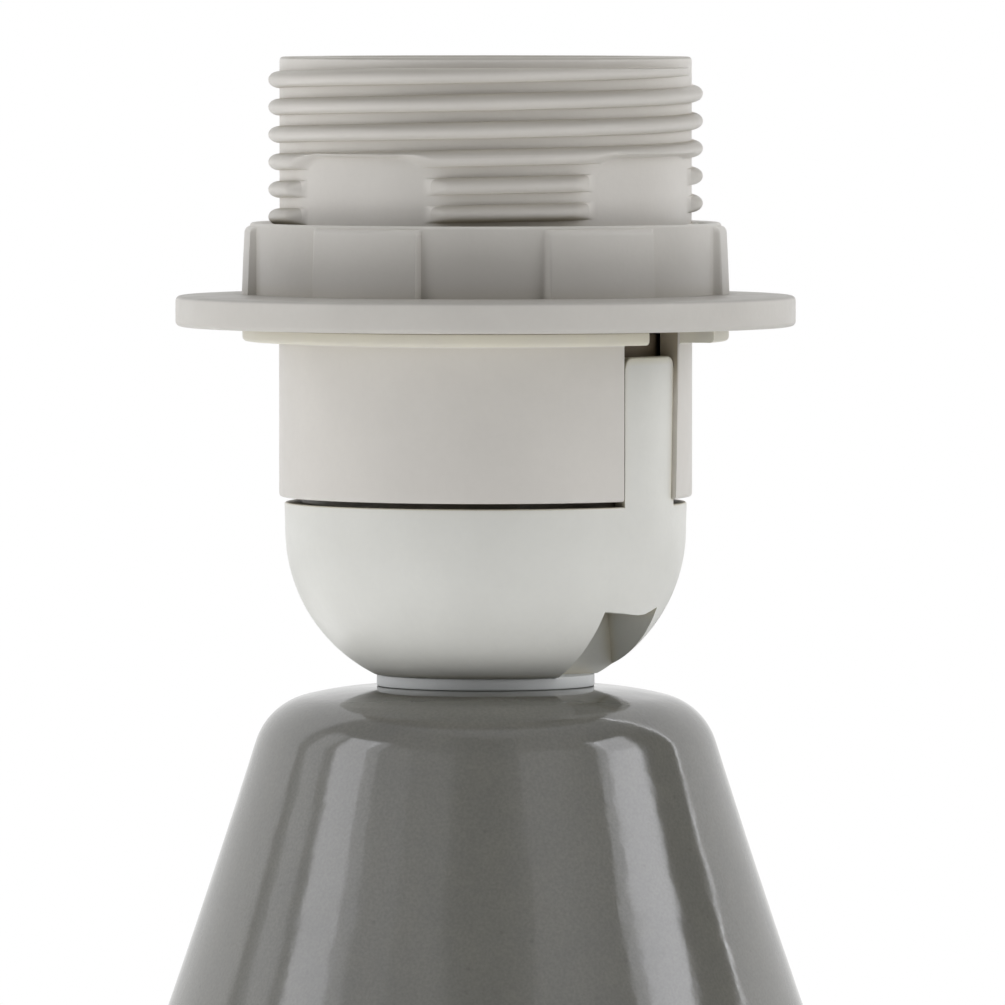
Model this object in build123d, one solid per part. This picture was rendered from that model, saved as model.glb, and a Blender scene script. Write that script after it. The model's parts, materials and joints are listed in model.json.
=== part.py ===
from build123d import *
import os
from math import asin, cos, degrees, radians, sin, sqrt, tan

os.makedirs("parts", exist_ok=True)

# A ceramic table lamp: a hollow glazed cone on a felt pad, with a plastic E27 lampholder on its top.
# Sizes are in millimetres. The origin is the middle of the pad's underside and +Z points up.
# The front of the lamp faces -Y. Azimuths are in degrees, from the front towards +X.

# Driving heights
pad_thickness = 2.0
body_height = 163.0
spacer_height = 1.1
dome_height = 15.7
barrel_gap = 0.5
barrel_length = 40.1

# Ceramic body
body_flat_radius = 9.0
crown_radius = 32.0
shoulder_radius = 6.25
shoulder_centre_radius = 15.05
flank_start_angle = 17.5
flank_angle = 19.0
flare_radius = 900.0
body_wall = 5.0
body_neck_wall = 6.0
body_hole_radius = 5.6
body_edge_radius = 4.0
foot_ledge_width = 4.0
foot_ledge_thickness = 4.0
foot_ring_width = 5.5
cavity_corner_radius = 4.0

# Base board and pad
board_thickness = 3.0
board_clearance = 0.2
pad_inset = 1.0

# Cord inlet, through the back of the body
inlet_height = 20.0
inlet_bore_radius = 3.5
grommet_wall = 1.3
grommet_clearance = 0.2
grommet_flange_radius = 6.5
grommet_flange_thickness = 1.6
grommet_edge_radius = 0.6
grommet_seat_depth = 0.6
grommet_seat_margin = 1.0
grommet_barb_height = 0.9
grommet_barb_length = 1.4
grommet_barb_gap = 0.5

# Hollow threaded tube that clamps the lampholder to the body
tube_radius = 4.95
tube_bore_radius = 3.6
tube_clearance = 0.1
tube_top_stand = 1.0
tube_foot_stand = 2.0
tube_chamfer = 0.4

# Hardware on the tube
nut_width = 14.0
nut_height = 3.5
nut_chamfer = 0.5
rubber_radius = 11.0
rubber_thickness = 2.0
washer_radius = 12.0
washer_thickness = 1.2
toothed_radius = 8.2
toothed_thickness = 0.8
tooth_count = 10
tooth_slot_width = 1.1
tooth_slot_depth = 1.9
bush_wall = 1.3
bush_grip = 1.5
bush_floor = 1.2
bush_bore_radius = 3.3
bush_edge_radius = 0.4

# Spacer ring between the body and the dome
spacer_radius = 9.95

# Dome cap
dome_rim_radius = 18.36
dome_side_radius = 18.3
dome_side_height = 2.5
dome_arc_radius = 14.8
dome_wall = 2.0
dome_floor = 3.0
dome_boss_radius = 7.6
spigot_radius = 16.8
spigot_wall = 1.6
spigot_height = 8.2
spigot_root_depth = 3.8

# Latch tongue of the dome, which rises in the barrel's slot
tongue_start_azimuth = 43.8
tongue_end_azimuth = 68.3
tongue_height = 13.5
tongue_thickness = 1.3
tongue_corner_radius = 1.0
tongue_root_depth = 1.5

# Bayonet lugs of the dome
lug_azimuth = 145.0
lug_count = 2
lug_angle = 20.0
lug_height = 2.0
lug_depth = 0.9
lug_stand = 3.2
lug_turn_angle = 30.0
lug_clearance = 0.2

# Pocket low on the dome, with the screw that locks the threaded tube
pocket_azimuth = 35.0
pocket_back = 5.7
pocket_near_side = 1.0
pocket_far_side = 9.8
pocket_height = 6.3
pocket_wall = 1.6
lock_screw_radius = 1.5
lock_screw_length = 3.1
lock_screw_clearance = 0.05
lock_screw_side = 2.7
lock_screw_height = 3.6
lock_screw_slot_width = 0.6
lock_screw_slot_depth = 0.8

# Barrel
barrel_radius = 18.85
barrel_lower_bore_radius = 17.0
barrel_upper_bore_radius = 15.9
barrel_edge_radius = 0.3
barrel_rim_edge_radius = 0.35
smooth_length = 14.2
lip_radius = 22.2
lip_thickness = 1.2
lip_edge_radius = 0.45
entry_radius = 14.3
entry_depth = 4.0
entry_chamfer = 0.8
slot_start_azimuth = 41.7
slot_end_azimuth = 68.9

# Outer thread of the barrel
thread_pitch = 2.5
thread_root_radius = 18.9
thread_crest_radius = 19.85
thread_base_width = 1.7
thread_crest_width = 0.7
thread_top_depth = 0.84
thread_top_azimuth = 72.0
thread_foot_stand = 1.36
thread_sink = 0.4
thread_clearance = 0.25

# Gaps in the thread, a little below its root
gap_depth = 0.08
gap_azimuth = -37.8
gap_half_angle = 20.4
gap_count = 4
gap_top_depth = 9.0

# Shade ring
flange_radius = 28.3
flange_thickness = 3.1
flange_edge_radius = 0.4
collar_radius = 21.5
collar_height = 6.4
collar_top_edge_radius = 0.3
grip_top_radius = 22.0
grip_foot_radius = 22.25
grip_count = 6
grip_angle = 30.0
grip_azimuth = 28.0
grip_top_gap = 0.3
grip_edge_radius = 0.6
ring_thread_margin = 0.4
ring_tip_width = 0.6
ring_base_width = 1.6

# Contact carrier
carrier_radius = 16.5
carrier_height = 7.5
carrier_edge_radius = 0.4
terminal_offset = 10.0
terminal_length = 5.2
terminal_width = 6.6
terminal_height = 5.0
terminal_clearance = 0.2
well_length = 11.6
well_width = 6.4
well_depth = 2.5
well_wall = 1.15
cord_way_radius = 4.0
cord_way_offset = 10.5

# Terminal screws and rivets
terminal_screw_radius = 1.5
terminal_screw_length = 3.5
terminal_screw_clearance = 0.05
terminal_screw_head_radius = 2.4
terminal_screw_head_height = 1.4
terminal_screw_slot_width = 0.6
terminal_screw_slot_depth = 0.7
rivet_radius = 1.2
rivet_head_radius = 2.0
rivet_head_height = 0.6
rivet_clearance = 0.05

# Centre contact
strip_thickness = 0.5
strip_width = 5.0
strip_end_margin = 2.3
blade_width = 4.0
blade_rise = 2.3
blade_ramp_length = 4.0
blade_flat_length = 3.8
blade_tip_length = 2.0
blade_tip_drop = 1.1
blade_gap = 0.3
button_radius = 1.4
button_height = 0.35
button_edge_radius = 0.2

# Screw shell for the lamp cap, an E27 thread
shell_pitch = 3.629
shell_bore_radius = 12.25
shell_groove_radius = 13.3
shell_outer_radius = 13.75
shell_height = 19.0
shell_flange_thickness = 0.5
shell_flange_bore_radius = 7.8
shell_groove_foot_stand = 2.4
shell_groove_width = 2.7
shell_groove_tip_width = 1.3
shell_groove_overlap = 1.0
shell_notch_width = 9.0
shell_notch_height = 1.4

# One overrun for every cutter
overrun = 1.0

# Levels
body_foot = pad_thickness
body_top = body_foot + body_height
spacer_top = body_top + spacer_height
dome_top = spacer_top + dome_height
barrel_foot = dome_top + barrel_gap
barrel_top = barrel_foot + barrel_length
lip_foot = barrel_foot + smooth_length
lip_top = lip_foot + lip_thickness
flange_top = lip_top + flange_thickness
spigot_top = dome_top + spigot_height
carrier_top = spigot_top + carrier_height
neck_underside = body_top - body_neck_wall
rubber_foot = neck_underside - rubber_thickness
washer_foot = rubber_foot - washer_thickness
toothed_foot = washer_foot - toothed_thickness
lower_nut_foot = toothed_foot - nut_height
tube_foot = lower_nut_foot - tube_foot_stand
boss_top = spacer_top + pocket_height + pocket_wall
tube_top = boss_top + nut_height + tube_top_stand
tube_hole_radius = tube_radius + tube_clearance
thread_level = barrel_top - thread_top_depth
collar_top = flange_top + collar_height
ring_bore_radius = thread_crest_radius + thread_clearance
terminal_top = spigot_top + terminal_height
well_start = -terminal_offset + terminal_length / 2 + terminal_clearance + well_wall
hinge_out = well_start + blade_gap / 2


def point(centre, radius, angle):
    """The (radius, height) of a point on a circle; the angle is in degrees above the horizontal."""
    return (centre[0] + radius * cos(radians(angle)), centre[1] + radius * sin(radians(angle)))


def arc(centre, radius, start, end):
    """An arc in the plane of radius and height, from one angle to another."""
    middle = (start + end) / 2
    ends = [point(centre, radius, angle) for angle in (start, middle, end)]
    return ThreePointArc(*[(r, 0, z) for r, z in ends])


def lines(*points):
    """Straight lines through (radius, height) points."""
    return Polyline(*[(r, 0, z) for r, z in points])


def turned(*edges):
    """A solid turned about the lamp's axis from a closed outline."""
    return revolve(make_face(Curve() + list(edges)), axis=Axis.Z)


def tube(inner, outer, foot, top):
    """An upright tube, or a disc where the inner radius is zero."""
    solid = Pos(0, 0, foot) * extrude(Circle(outer), top - foot)
    if inner > 0:
        solid -= Pos(0, 0, foot - overrun) * extrude(Circle(inner), top - foot + 2 * overrun)
    return solid


def wedge(inner, outer, foot, top, start, end):
    """A sector of an upright tube between two azimuths."""
    face = make_face(lines((inner, foot), (outer, foot), (outer, top), (inner, top), (inner, foot)))
    solid = revolve(face, axis=Axis.Z, revolution_arc=end - start)
    return Rot(Z=start - 90) * solid


def toward(azimuth, out, side, height):
    """A place that lies out along an azimuth, to its right as seen from the front, and at a height."""
    return Rot(Z=azimuth - 90) * Pos(out, side, height)


def block(low, high):
    """A box between two corners."""
    size = [b - a for a, b in zip(low, high)]
    return Pos(*low) * Box(*size, align=(Align.MIN, Align.MIN, Align.MIN))


def ridge(root, root_width, tip, tip_width, sink, pitch, turns, foot, azimuth):
    """A right-handed helical ridge, from a root radius to a tip radius and sunk in what carries it."""
    rise = 1 if tip > root else -1
    taper = (root_width - tip_width) / abs(tip - root)
    sunk_width = root_width + sink * taper
    sunk = root - rise * sink
    path = Helix(pitch, pitch * turns, sunk)
    start = Plane(origin=path @ 0, x_dir=(1, 0, 0), z_dir=path % 0)
    reach = tip - sunk
    outline = Polyline(
        (0, -sunk_width / 2), (reach, -tip_width / 2), (reach, tip_width / 2), (0, sunk_width / 2), close=True
    )
    solid = sweep(start * make_face(outline), path=path, is_frenet=True)
    return Pos(0, 0, foot) * Rot(Z=azimuth - 90) * solid


def edges_at(part, height, radius):
    """The round edges of a part at a height and a radius about the lamp's axis."""
    near = radius / 100
    found = part.edges().filter_by(GeomType.CIRCLE).filter_by_position(Axis.Z, height - near, height + near)
    return [edge for edge in found if abs(edge.radius - radius) < near and abs(edge.arc_center.X) < near]


# Outline of the ceramic body: a crown, a tight shoulder, a flank that flares a little, and a straight flank
crown_centre = (body_flat_radius, body_top - crown_radius)
crown_reach = shoulder_centre_radius - body_flat_radius
crown_end_angle = 90 - degrees(asin(crown_reach / (crown_radius - shoulder_radius)))
shoulder_centre = point(crown_centre, crown_radius - shoulder_radius, crown_end_angle)
flank_start = point(shoulder_centre, shoulder_radius, flank_start_angle)
flare_centre = point(flank_start, flare_radius, flank_start_angle)
flare_end = point(flare_centre, flare_radius, 180 + flank_angle)
flank_slope = tan(radians(flank_angle))


def flank_radius(height):
    """The outer radius of the straight flank at a height."""
    return flare_end[0] + (flare_end[1] - height) * flank_slope


body_radius = flank_radius(body_foot)
body_side_wall = body_wall / cos(radians(flank_angle))
foot_flat_radius = body_radius - body_edge_radius / tan(radians(90 - flank_angle) / 2)
foot_ring_bore_radius = foot_flat_radius - foot_ring_width
ledge_bore_radius = foot_ring_bore_radius - foot_ledge_width
ledge_foot = body_foot + board_thickness
cavity_foot = ledge_foot + foot_ledge_thickness
inlet_level = body_foot + inlet_height
inlet_place = Pos(0, flank_radius(inlet_level), inlet_level) * Rot(X=flank_angle - 90)


def make_ceramic_body():
    foot_radius = flank_radius(body_foot)
    outside = turned(
        lines((0, body_top), (body_flat_radius, body_top)),
        arc(crown_centre, crown_radius, 90, crown_end_angle),
        arc(shoulder_centre, shoulder_radius, crown_end_angle, flank_start_angle),
        arc(flare_centre, flare_radius, 180 + flank_start_angle, 180 + flank_angle),
        lines(flare_end, (foot_radius, body_foot), (0, body_foot), (0, body_top)),
    )
    outside = fillet(edges_at(outside, body_foot, foot_radius), body_edge_radius)
    cavity_top_radius = flare_end[0] - body_side_wall - (neck_underside - flare_end[1]) * flank_slope
    cavity_foot_radius = flank_radius(cavity_foot) - body_side_wall
    cavity = turned(
        lines(
            (0, neck_underside),
            (cavity_top_radius, neck_underside),
            (cavity_foot_radius, cavity_foot),
            (0, cavity_foot),
            (0, neck_underside),
        )
    )
    corners = edges_at(cavity, neck_underside, cavity_top_radius)
    corners += edges_at(cavity, cavity_foot, cavity_foot_radius)
    cavity = fillet(corners, cavity_corner_radius)
    body = outside - cavity
    body -= tube(0, body_hole_radius, neck_underside - overrun, body_top + overrun)
    body -= tube(0, ledge_bore_radius, body_foot - overrun, cavity_foot + overrun)
    body -= tube(0, foot_ring_bore_radius, body_foot - overrun, ledge_foot)
    seat_radius = grommet_flange_radius + grommet_seat_margin
    hole_radius = inlet_bore_radius + grommet_wall + grommet_clearance
    body -= inlet_place * Pos(0, 0, -grommet_seat_depth) * extrude(Circle(seat_radius), seat_radius)
    body -= inlet_place * Pos(0, 0, -2 * body_wall) * extrude(Circle(hole_radius), 2 * body_wall + overrun)
    return body


def make_base_board():
    return tube(0, foot_ring_bore_radius - board_clearance, body_foot, ledge_foot)


def make_felt_pad():
    return tube(0, foot_flat_radius - pad_inset, 0, pad_thickness)


def make_cord_grommet():
    sleeve_radius = inlet_bore_radius + grommet_wall
    barb_top = -body_wall - grommet_barb_gap
    sleeve_foot = barb_top - grommet_barb_length
    flange = extrude(Circle(grommet_flange_radius), grommet_flange_thickness)
    flange = fillet(flange.edges().sort_by(Axis.Z)[-1], grommet_edge_radius)
    grommet = Pos(0, 0, -grommet_seat_depth) * flange
    grommet += Pos(0, 0, sleeve_foot) * extrude(Circle(sleeve_radius), -sleeve_foot - grommet_seat_depth)
    barb = Solid.make_cone(sleeve_radius, sleeve_radius + grommet_barb_height, grommet_barb_length)
    grommet += Pos(0, 0, sleeve_foot) * barb
    grommet -= Pos(0, 0, sleeve_foot - overrun) * extrude(Circle(inlet_bore_radius), 3 * body_wall)
    return inlet_place * grommet


def make_threaded_tube():
    rod = extrude(Circle(tube_radius), tube_top - tube_foot)
    rod = chamfer(rod.edges(), tube_chamfer)
    return Pos(0, 0, tube_foot) * rod - tube(0, tube_bore_radius, tube_foot - overrun, tube_top + overrun)


def make_hex_nut(foot):
    nut = extrude(RegularPolygon(nut_width / 2, 6, major_radius=False), nut_height)
    corner_radius = nut_width / sqrt(3)
    bevel = Solid.make_cone(corner_radius + nut_height - nut_chamfer, corner_radius - nut_chamfer, nut_height)
    nut = Pos(0, 0, foot) * (nut & bevel)
    return nut - tube(0, tube_hole_radius, foot - overrun, foot + nut_height + overrun)


def make_lock_nuts():
    return Compound(children=[make_hex_nut(lower_nut_foot), make_hex_nut(boss_top)])


def make_rubber_washer():
    return tube(tube_hole_radius, rubber_radius, rubber_foot, neck_underside)


def make_steel_washer():
    return tube(tube_hole_radius, washer_radius, washer_foot, rubber_foot)


def make_toothed_washer():
    washer = tube(tube_hole_radius, toothed_radius, toothed_foot, washer_foot)
    slot_low = (toothed_radius - tooth_slot_depth, -tooth_slot_width / 2, toothed_foot - overrun)
    slot = block(slot_low, (toothed_radius + overrun, tooth_slot_width / 2, washer_foot + overrun))
    for number in range(tooth_count):
        washer -= Rot(Z=number * 360 / tooth_count) * slot
    return washer


def make_tube_bush():
    bush = tube(bush_bore_radius, tube_hole_radius + bush_wall, tube_foot - bush_floor, tube_foot + bush_grip)
    bush -= tube(0, tube_hole_radius, tube_foot, tube_foot + bush_grip + overrun)
    return fillet(edges_at(bush, tube_foot - bush_floor, tube_hole_radius + bush_wall), bush_edge_radius)


def make_neck_spacer():
    return tube(tube_hole_radius, spacer_radius, body_top, spacer_top)


# Outline of the dome: a short straight side, then one arc down to the spacer
dome_arc_centre = (dome_side_radius - dome_arc_radius, dome_top - dome_side_height)
dome_arc_drop = dome_height - dome_side_height
dome_foot_radius = dome_arc_centre[0] + sqrt(dome_arc_radius**2 - dome_arc_drop**2)
dome_foot_angle = -degrees(asin(dome_arc_drop / dome_arc_radius))


def dome_outside():
    return turned(
        lines((0, dome_top), (dome_rim_radius, dome_top), (dome_side_radius, dome_arc_centre[1])),
        arc(dome_arc_centre, dome_arc_radius, 0, dome_foot_angle),
        lines((dome_foot_radius, spacer_top), (0, spacer_top), (0, dome_top)),
    )


def dome_cavity():
    inner_radius = dome_arc_radius - dome_wall
    floor_drop = dome_arc_drop - dome_floor
    floor_radius = dome_arc_centre[0] + sqrt(inner_radius**2 - floor_drop**2)
    floor_angle = -degrees(asin(floor_drop / inner_radius))
    side_radius = dome_side_radius - dome_wall
    return turned(
        lines((0, dome_top + overrun), (side_radius, dome_top + overrun), (side_radius, dome_arc_centre[1])),
        arc(dome_arc_centre, inner_radius, 0, floor_angle),
        lines((floor_radius, spacer_top + dome_floor), (0, spacer_top + dome_floor), (0, dome_top + overrun)),
    )


def pocket_block(grow, back, foot, top):
    """The pocket's box, grown sideways, in its place in the dome."""
    low = (back, pocket_near_side - grow, foot)
    high = (2 * dome_rim_radius, pocket_far_side + grow, top)
    return Rot(Z=pocket_azimuth - 90) * block(low, high)


def lock_screw_place(out):
    """A place on the lock screw's axis, with +Z pointing out along the pocket's azimuth."""
    height = spacer_top + lock_screw_height
    return toward(pocket_azimuth, out, lock_screw_side, height) * Rot(Y=90)


def bayonet_lug(number):
    """One of the lugs that stand out of the spigot."""
    foot = dome_top + lug_stand
    start = lug_azimuth - lug_angle / 2 + number * 360 / lug_count
    inner = spigot_radius - spigot_wall / 2
    return wedge(inner, spigot_radius + lug_depth, foot, foot + lug_height, start, start + lug_angle)


def make_dome_cap():
    dome = dome_outside()
    shell = dome - dome_cavity()
    shell += tube(spigot_radius - spigot_wall, spigot_radius, dome_top - spigot_root_depth, spigot_top)
    shell += tube(0, dome_boss_radius, spacer_top, boss_top)
    shell += pocket_block(pocket_wall, tube_radius, spacer_top, boss_top) & dome
    for number in range(lug_count):
        shell += bayonet_lug(number)
    shell -= pocket_block(0, pocket_back, spacer_top - overrun, spacer_top + pocket_height)
    shell -= tube(0, tube_hole_radius, spacer_top - overrun, boss_top + overrun)
    screw_hole_radius = lock_screw_radius + lock_screw_clearance
    shell -= lock_screw_place(0) * extrude(Circle(screw_hole_radius), pocket_back + overrun)
    tongue_inner = dome_rim_radius - tongue_thickness
    tongue_foot = dome_top - tongue_root_depth
    tongue_top = dome_top + tongue_height
    tongue = wedge(
        tongue_inner, dome_rim_radius, tongue_foot, tongue_top, tongue_start_azimuth, tongue_end_azimuth
    )
    corners = tongue.edges().filter_by(GeomType.LINE).sort_by(Axis.Z)[-2:]
    return shell + fillet(corners, tongue_corner_radius)


def make_lock_screw():
    reach = sqrt(tube_radius**2 - (lock_screw_side - lock_screw_radius) ** 2) + lock_screw_clearance
    screw = extrude(Circle(lock_screw_radius), lock_screw_length)
    slot_low = (-lock_screw_slot_width / 2, -2 * lock_screw_radius, lock_screw_length - lock_screw_slot_depth)
    screw -= block(slot_low, (lock_screw_slot_width / 2, 2 * lock_screw_radius, lock_screw_length + overrun))
    return lock_screw_place(reach) * screw


def make_contact_carrier():
    carrier = tube(0, carrier_radius, spigot_top, carrier_top)
    carrier = fillet(edges_at(carrier, carrier_top, carrier_radius), carrier_edge_radius)
    half_long = terminal_length / 2 + terminal_clearance
    half_wide = terminal_width / 2 + terminal_clearance
    well_foot = spigot_top + terminal_height
    for side in (-1, 1):
        middle = side * terminal_offset
        low = (middle - half_long, -half_wide, spigot_top - overrun)
        carrier -= block(low, (middle + half_long, half_wide, well_foot))
        rivet_hole = extrude(Circle(rivet_radius + rivet_clearance), carrier_height + overrun)
        carrier -= Pos(middle, 0, spigot_top) * rivet_hole
        way = Pos(0, side * cord_way_offset, spigot_top - overrun)
        carrier -= way * extrude(Circle(cord_way_radius), carrier_height - well_depth)
    well_low = (well_start, -well_width / 2, carrier_top - well_depth)
    carrier -= block(well_low, (well_start + well_length, well_width / 2, carrier_top + overrun))
    recess_reach = terminal_offset + strip_end_margin + terminal_clearance
    recess_side = strip_width / 2 + terminal_clearance
    recess_high = (well_start + overrun, recess_side, carrier_top + overrun)
    carrier -= block((-recess_reach, -recess_side, carrier_top - strip_thickness), recess_high)
    return carrier


def make_terminal_blocks():
    blocks = []
    for side in (-1, 1):
        middle = side * terminal_offset
        low = (middle - terminal_length / 2, -terminal_width / 2, spigot_top)
        terminal = block(low, (middle + terminal_length / 2, terminal_width / 2, terminal_top))
        hole_radius = terminal_screw_radius + terminal_screw_clearance
        hole = extrude(Circle(hole_radius), terminal_screw_length + overrun)
        terminal -= Pos(middle, 0, spigot_top - overrun) * hole
        blocks.append(terminal)
    return Compound(children=blocks)


def make_terminal_screws():
    screws = []
    head_foot = spigot_top - terminal_screw_head_height
    for side in (-1, 1):
        screw = extrude(Circle(terminal_screw_head_radius), terminal_screw_head_height)
        screw += extrude(Circle(terminal_screw_radius), terminal_screw_head_height + terminal_screw_length)
        reach = terminal_screw_head_radius + overrun
        half = terminal_screw_slot_width / 2
        screw -= block((-reach, -half, -overrun), (reach, half, terminal_screw_slot_depth))
        screws.append(Pos(side * terminal_offset, 0, head_foot) * screw)
    return Compound(children=screws)


def make_rivet(out, seat):
    """A rivet from a terminal's top up through what lies on the carrier."""
    shank = extrude(Circle(rivet_radius), seat - terminal_top)
    head = extrude(Circle(rivet_head_radius), rivet_head_height)
    head = fillet(head.edges().sort_by(Axis.Z)[-1], rivet_head_height / 2)
    return Pos(out, 0, terminal_top) * shank + Pos(out, 0, seat) * head


def make_contact_rivets():
    strip_rivet = make_rivet(-terminal_offset, carrier_top)
    shell_rivet = make_rivet(terminal_offset, carrier_top + shell_flange_thickness)
    return Compound(children=[strip_rivet, shell_rivet])


def make_contact_strip():
    low = (-terminal_offset - strip_end_margin, -strip_width / 2, carrier_top - strip_thickness)
    strip = block(low, (hinge_out - blade_gap, strip_width / 2, carrier_top))
    hole = extrude(Circle(rivet_radius + rivet_clearance), strip_thickness + 2 * overrun)
    return strip - Pos(-terminal_offset, 0, carrier_top - strip_thickness - overrun) * hole


def make_contact_blade():
    foot = carrier_top - strip_thickness
    flat_start = hinge_out + blade_ramp_length
    flat_end = flat_start + blade_flat_length
    under = [
        (hinge_out, foot),
        (flat_start, foot + blade_rise),
        (flat_end, foot + blade_rise),
        (flat_end + blade_tip_length, foot + blade_rise - blade_tip_drop),
    ]
    over = [(out, height + strip_thickness) for out, height in reversed(under)]
    blade = extrude(make_face(lines(*under, *over, under[0])), blade_width / 2, both=True)
    button = extrude(Circle(button_radius), button_height)
    button = fillet(button.edges().sort_by(Axis.Z)[-1], button_edge_radius)
    return blade + Pos(flat_start + blade_flat_length / 2, 0, foot + blade_rise + strip_thickness) * button


def make_screw_shell():
    shell_top = carrier_top + shell_height
    shell = tube(shell_bore_radius, shell_outer_radius, carrier_top, shell_top)
    flange_level = carrier_top + shell_flange_thickness
    shell += tube(shell_flange_bore_radius, shell_outer_radius, carrier_top, flange_level)
    groove_turns = (shell_height - shell_groove_foot_stand) / shell_pitch + 1
    groove = ridge(
        shell_bore_radius,
        shell_groove_width,
        shell_groove_radius,
        shell_groove_tip_width,
        shell_groove_overlap,
        shell_pitch,
        groove_turns,
        carrier_top + shell_groove_foot_stand,
        0,
    )
    shell -= groove
    reach = shell_outer_radius + overrun
    half = shell_notch_width / 2
    shell -= block((-reach, -half, carrier_top - overrun), (-overrun, half, carrier_top + shell_notch_height))
    hole = extrude(Circle(rivet_radius + rivet_clearance), shell_flange_thickness + 2 * overrun)
    return shell - Pos(terminal_offset, 0, carrier_top - overrun) * hole


def make_barrel_shell():
    barrel = turned(
        lines(
            (barrel_lower_bore_radius, barrel_foot),
            (barrel_radius, barrel_foot),
            (barrel_radius, lip_foot),
            (lip_radius, lip_foot),
            (lip_radius, lip_top),
            (thread_root_radius, lip_top),
            (thread_root_radius, barrel_top),
            (entry_radius, barrel_top),
            (entry_radius, barrel_top - entry_depth),
            (barrel_upper_bore_radius, barrel_top - entry_depth),
            (barrel_upper_bore_radius, carrier_top),
            (barrel_lower_bore_radius, carrier_top),
            (barrel_lower_bore_radius, barrel_foot),
        )
    )
    barrel = fillet(edges_at(barrel, barrel_foot, barrel_radius), barrel_edge_radius)
    barrel = fillet(edges_at(barrel, lip_foot, lip_radius), lip_edge_radius)
    barrel = fillet(edges_at(barrel, barrel_top, thread_root_radius), barrel_rim_edge_radius)
    barrel = chamfer(edges_at(barrel, barrel_top, entry_radius), entry_chamfer)
    thread_turns = (thread_level - lip_top - thread_foot_stand) / thread_pitch
    thread = ridge(
        thread_root_radius,
        thread_base_width,
        thread_crest_radius,
        thread_crest_width,
        thread_sink,
        thread_pitch,
        thread_turns,
        lip_top + thread_foot_stand,
        thread_top_azimuth - 360 * thread_turns,
    )
    barrel += thread - tube(0, lip_radius, barrel_top, barrel_top + thread_pitch)
    gap_radius = thread_root_radius - gap_depth
    for number in range(gap_count):
        azimuth = gap_azimuth + number * 360 / gap_count
        start, end = azimuth - gap_half_angle, azimuth + gap_half_angle
        barrel -= wedge(gap_radius, lip_radius, lip_top, barrel_top - gap_top_depth, start, end)
    inside = barrel_lower_bore_radius - overrun
    barrel -= wedge(
        inside, lip_radius + overrun, barrel_foot - overrun, lip_top, slot_start_azimuth, slot_end_azimuth
    )
    for cutter in bayonet_grooves(inside):
        barrel -= cutter
    return barrel


def bayonet_grooves(inside):
    """The grooves that the dome's lugs rise into and turn along."""
    outside = spigot_radius + lug_depth + lug_clearance
    foot = dome_top + lug_stand - lug_clearance
    top = dome_top + lug_stand + lug_height + lug_clearance
    play = degrees(lug_clearance / spigot_radius)
    cutters = []
    for number in range(lug_count):
        start = lug_azimuth + number * 360 / lug_count - lug_angle / 2 - play
        end = start + lug_angle + 2 * play
        cutters.append(wedge(inside, outside, foot, top, start, end + lug_turn_angle))
        cutters.append(
            wedge(inside, outside, barrel_foot - overrun, top, start + lug_turn_angle, end + lug_turn_angle)
        )
    return cutters


def make_ring_flange():
    flange = tube(ring_bore_radius, flange_radius, lip_top, flange_top)
    rims = edges_at(flange, lip_top, flange_radius) + edges_at(flange, flange_top, flange_radius)
    return fillet(rims, flange_edge_radius)


def make_ring_collar():
    collar = tube(0, collar_radius, flange_top, collar_top)
    collar = fillet(edges_at(collar, collar_top, collar_radius), collar_top_edge_radius)
    grip_top = collar_top - grip_top_gap
    inner = ring_bore_radius
    face = make_face(
        lines(
            (inner, flange_top),
            (grip_foot_radius, flange_top),
            (grip_top_radius, grip_top),
            (inner, grip_top),
            (inner, flange_top),
        )
    )
    grip = revolve(face, axis=Axis.Z, revolution_arc=grip_angle)
    grip = fillet(edges_at(grip, grip_top, grip_top_radius), grip_edge_radius)
    for number in range(grip_count):
        start = grip_azimuth - grip_angle / 2 + number * 360 / grip_count
        collar += Rot(Z=start - 90) * grip
    collar -= tube(0, ring_bore_radius, flange_top - overrun, collar_top + overrun)
    margin = ring_base_width / 2 + ring_thread_margin
    ridge_foot = flange_top + margin
    lag = (ridge_foot - thread_pitch / 2 - thread_level) / thread_pitch
    collar += ridge(
        ring_bore_radius,
        ring_base_width,
        thread_root_radius + thread_clearance,
        ring_tip_width,
        thread_sink,
        thread_pitch,
        (collar_height - 2 * margin) / thread_pitch,
        ridge_foot,
        thread_top_azimuth + 360 * lag,
    )
    return collar


makers = {
    "ceramic_body": make_ceramic_body,
    "base_board": make_base_board,
    "felt_pad": make_felt_pad,
    "cord_grommet": make_cord_grommet,
    "threaded_tube": make_threaded_tube,
    "lock_nuts": make_lock_nuts,
    "rubber_washer": make_rubber_washer,
    "steel_washer": make_steel_washer,
    "toothed_washer": make_toothed_washer,
    "tube_bush": make_tube_bush,
    "neck_spacer": make_neck_spacer,
    "dome_cap": make_dome_cap,
    "lock_screw": make_lock_screw,
    "contact_carrier": make_contact_carrier,
    "terminal_blocks": make_terminal_blocks,
    "terminal_screws": make_terminal_screws,
    "contact_rivets": make_contact_rivets,
    "contact_strip": make_contact_strip,
    "contact_blade": make_contact_blade,
    "screw_shell": make_screw_shell,
    "barrel_shell": make_barrel_shell,
    "ring_flange": make_ring_flange,
    "ring_collar": make_ring_collar,
}

for node, make in makers.items():
    export_step(make(), f"parts/{node}.step")
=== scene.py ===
import json
import math

import bmesh
import bpy
from mathutils import Matrix, Vector, noise


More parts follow.
